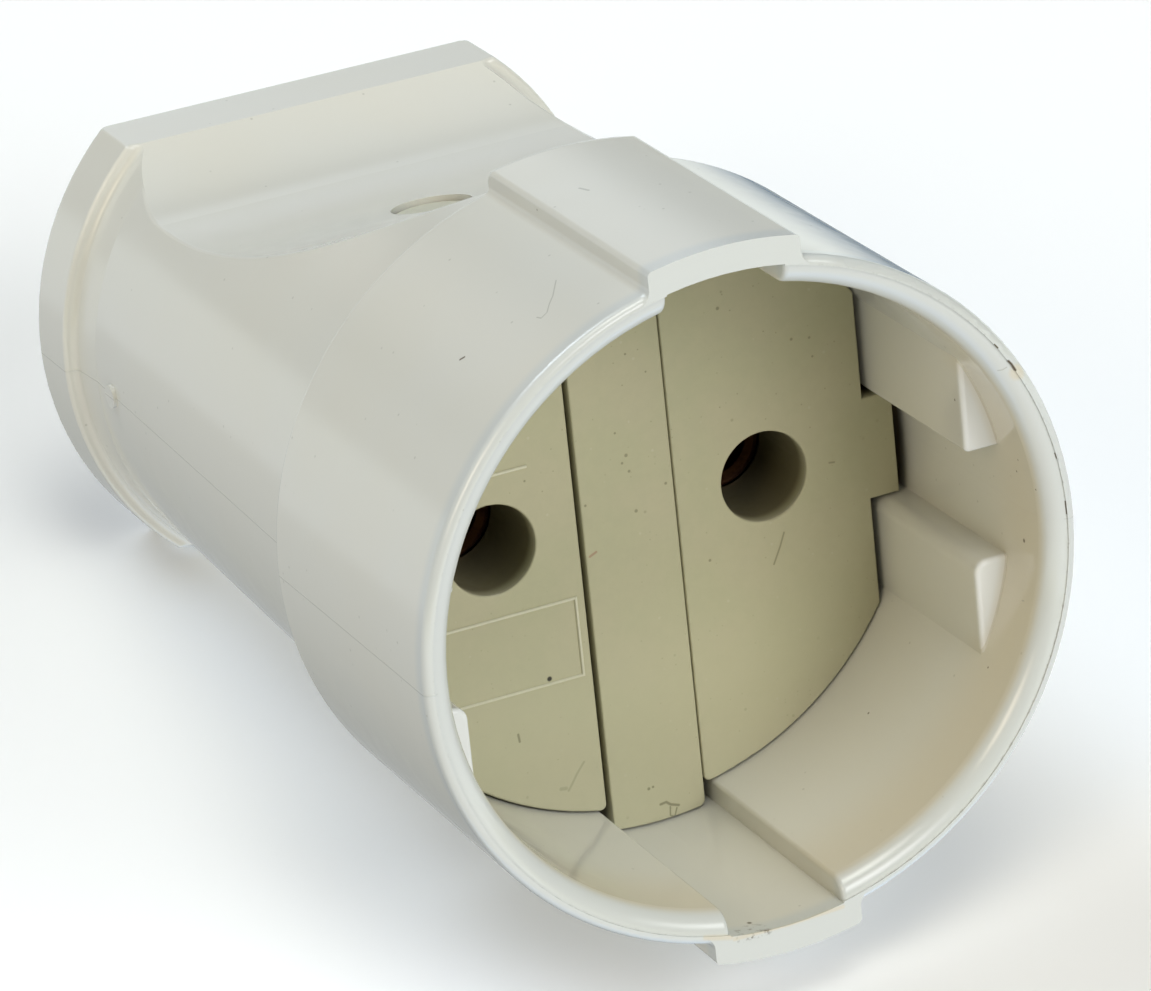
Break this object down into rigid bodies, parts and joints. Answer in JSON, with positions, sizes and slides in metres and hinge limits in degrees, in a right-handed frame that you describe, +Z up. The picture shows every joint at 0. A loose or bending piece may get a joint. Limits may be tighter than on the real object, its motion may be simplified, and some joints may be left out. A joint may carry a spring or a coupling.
{
  "type": "inline socket connector",
  "caption": "Round two-pin mains socket for the end of a cord: white casing with thumb scoops and key ribs, a beige core at the bottom of its well.",
  "frame": {"origin": "centre of the overall box's base, on the surface that the socket lies on", "axes": "+Y runs level from the mouth to the rear, +X across the two pins, +Z up. The socket's own axis lies in the YZ plane and falls to the rear by 10.41 degrees."},
  "size_m": [0.044, 0.0756, 0.0499],
  "materials": {
    "casing_plastic": "moulded off-white plastic with a soft gloss",
    "core_plastic": "moulded olive-beige plastic, satin",
    "contact_brass": "bare pressed brass",
    "plated_steel": "zinc-plated steel"
  },
  "bodies": {
    "root": {"casing": "casing_plastic", "clamp_nut_left": "plated_steel", "clamp_nut_right": "plated_steel", "clamp_screw_left": "plated_steel", "clamp_screw_right": "plated_steel", "contact_left": "contact_brass", "contact_right": "contact_brass", "contact_spring_left": "plated_steel", "contact_spring_right": "plated_steel", "cord_clamp": "core_plastic", "core_left": "core_plastic", "core_right": "core_plastic", "core_spine": "core_plastic", "terminal_plate_left": "plated_steel", "terminal_plate_right": "plated_steel", "terminal_screw_left": "plated_steel", "terminal_screw_right": "plated_steel", "tie_nut": "plated_steel", "tie_screw": "plated_steel"}
  },
  "joints": []
}
